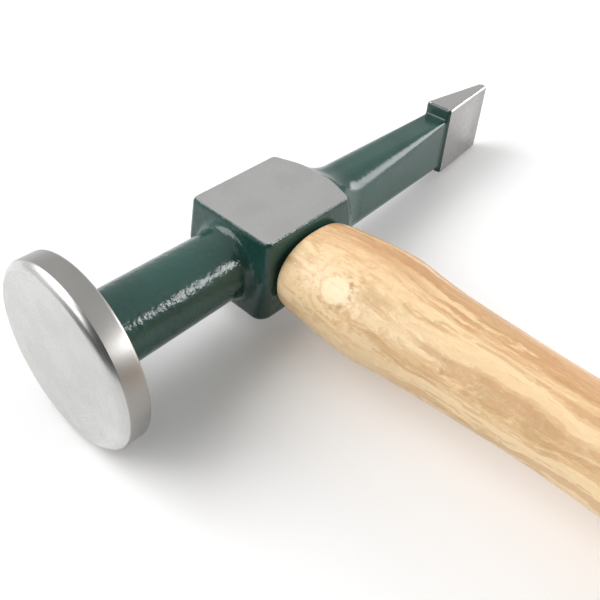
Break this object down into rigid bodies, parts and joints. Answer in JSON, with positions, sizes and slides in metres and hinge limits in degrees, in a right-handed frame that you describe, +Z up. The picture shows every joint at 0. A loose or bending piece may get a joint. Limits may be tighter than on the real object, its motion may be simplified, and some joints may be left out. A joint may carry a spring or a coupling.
{
  "type": "body hammer",
  "caption": "Panel-beating hammer with a round flat striking face, a cross chisel peen and an oval wooden handle wedged into the eye of the head.",
  "frame": {"origin": "on the surface that the hammer lies on, under the middle of its bounding box", "axes": "+Z up from that surface, +Y along the handle towards the butt, +X towards the striking face"},
  "size_m": [0.1432, 0.325, 0.0403],
  "materials": {
    "green_paint": "glossy dark green enamel over a forging, with the face, cheeks and peen ground to bare satin steel",
    "ground_steel": "ground satin steel",
    "handle_wood": "pale straight-grained hardwood under clear semi-gloss lacquer",
    "wedge_wood": "raw end grain",
    "wedge_steel": "rolled mild steel"
  },
  "bodies": {
    "root": {"head": "green_paint", "handle": "handle_wood", "wood_wedge": "wedge_wood", "steel_wedge": "wedge_steel"}
  },
  "joints": []
}
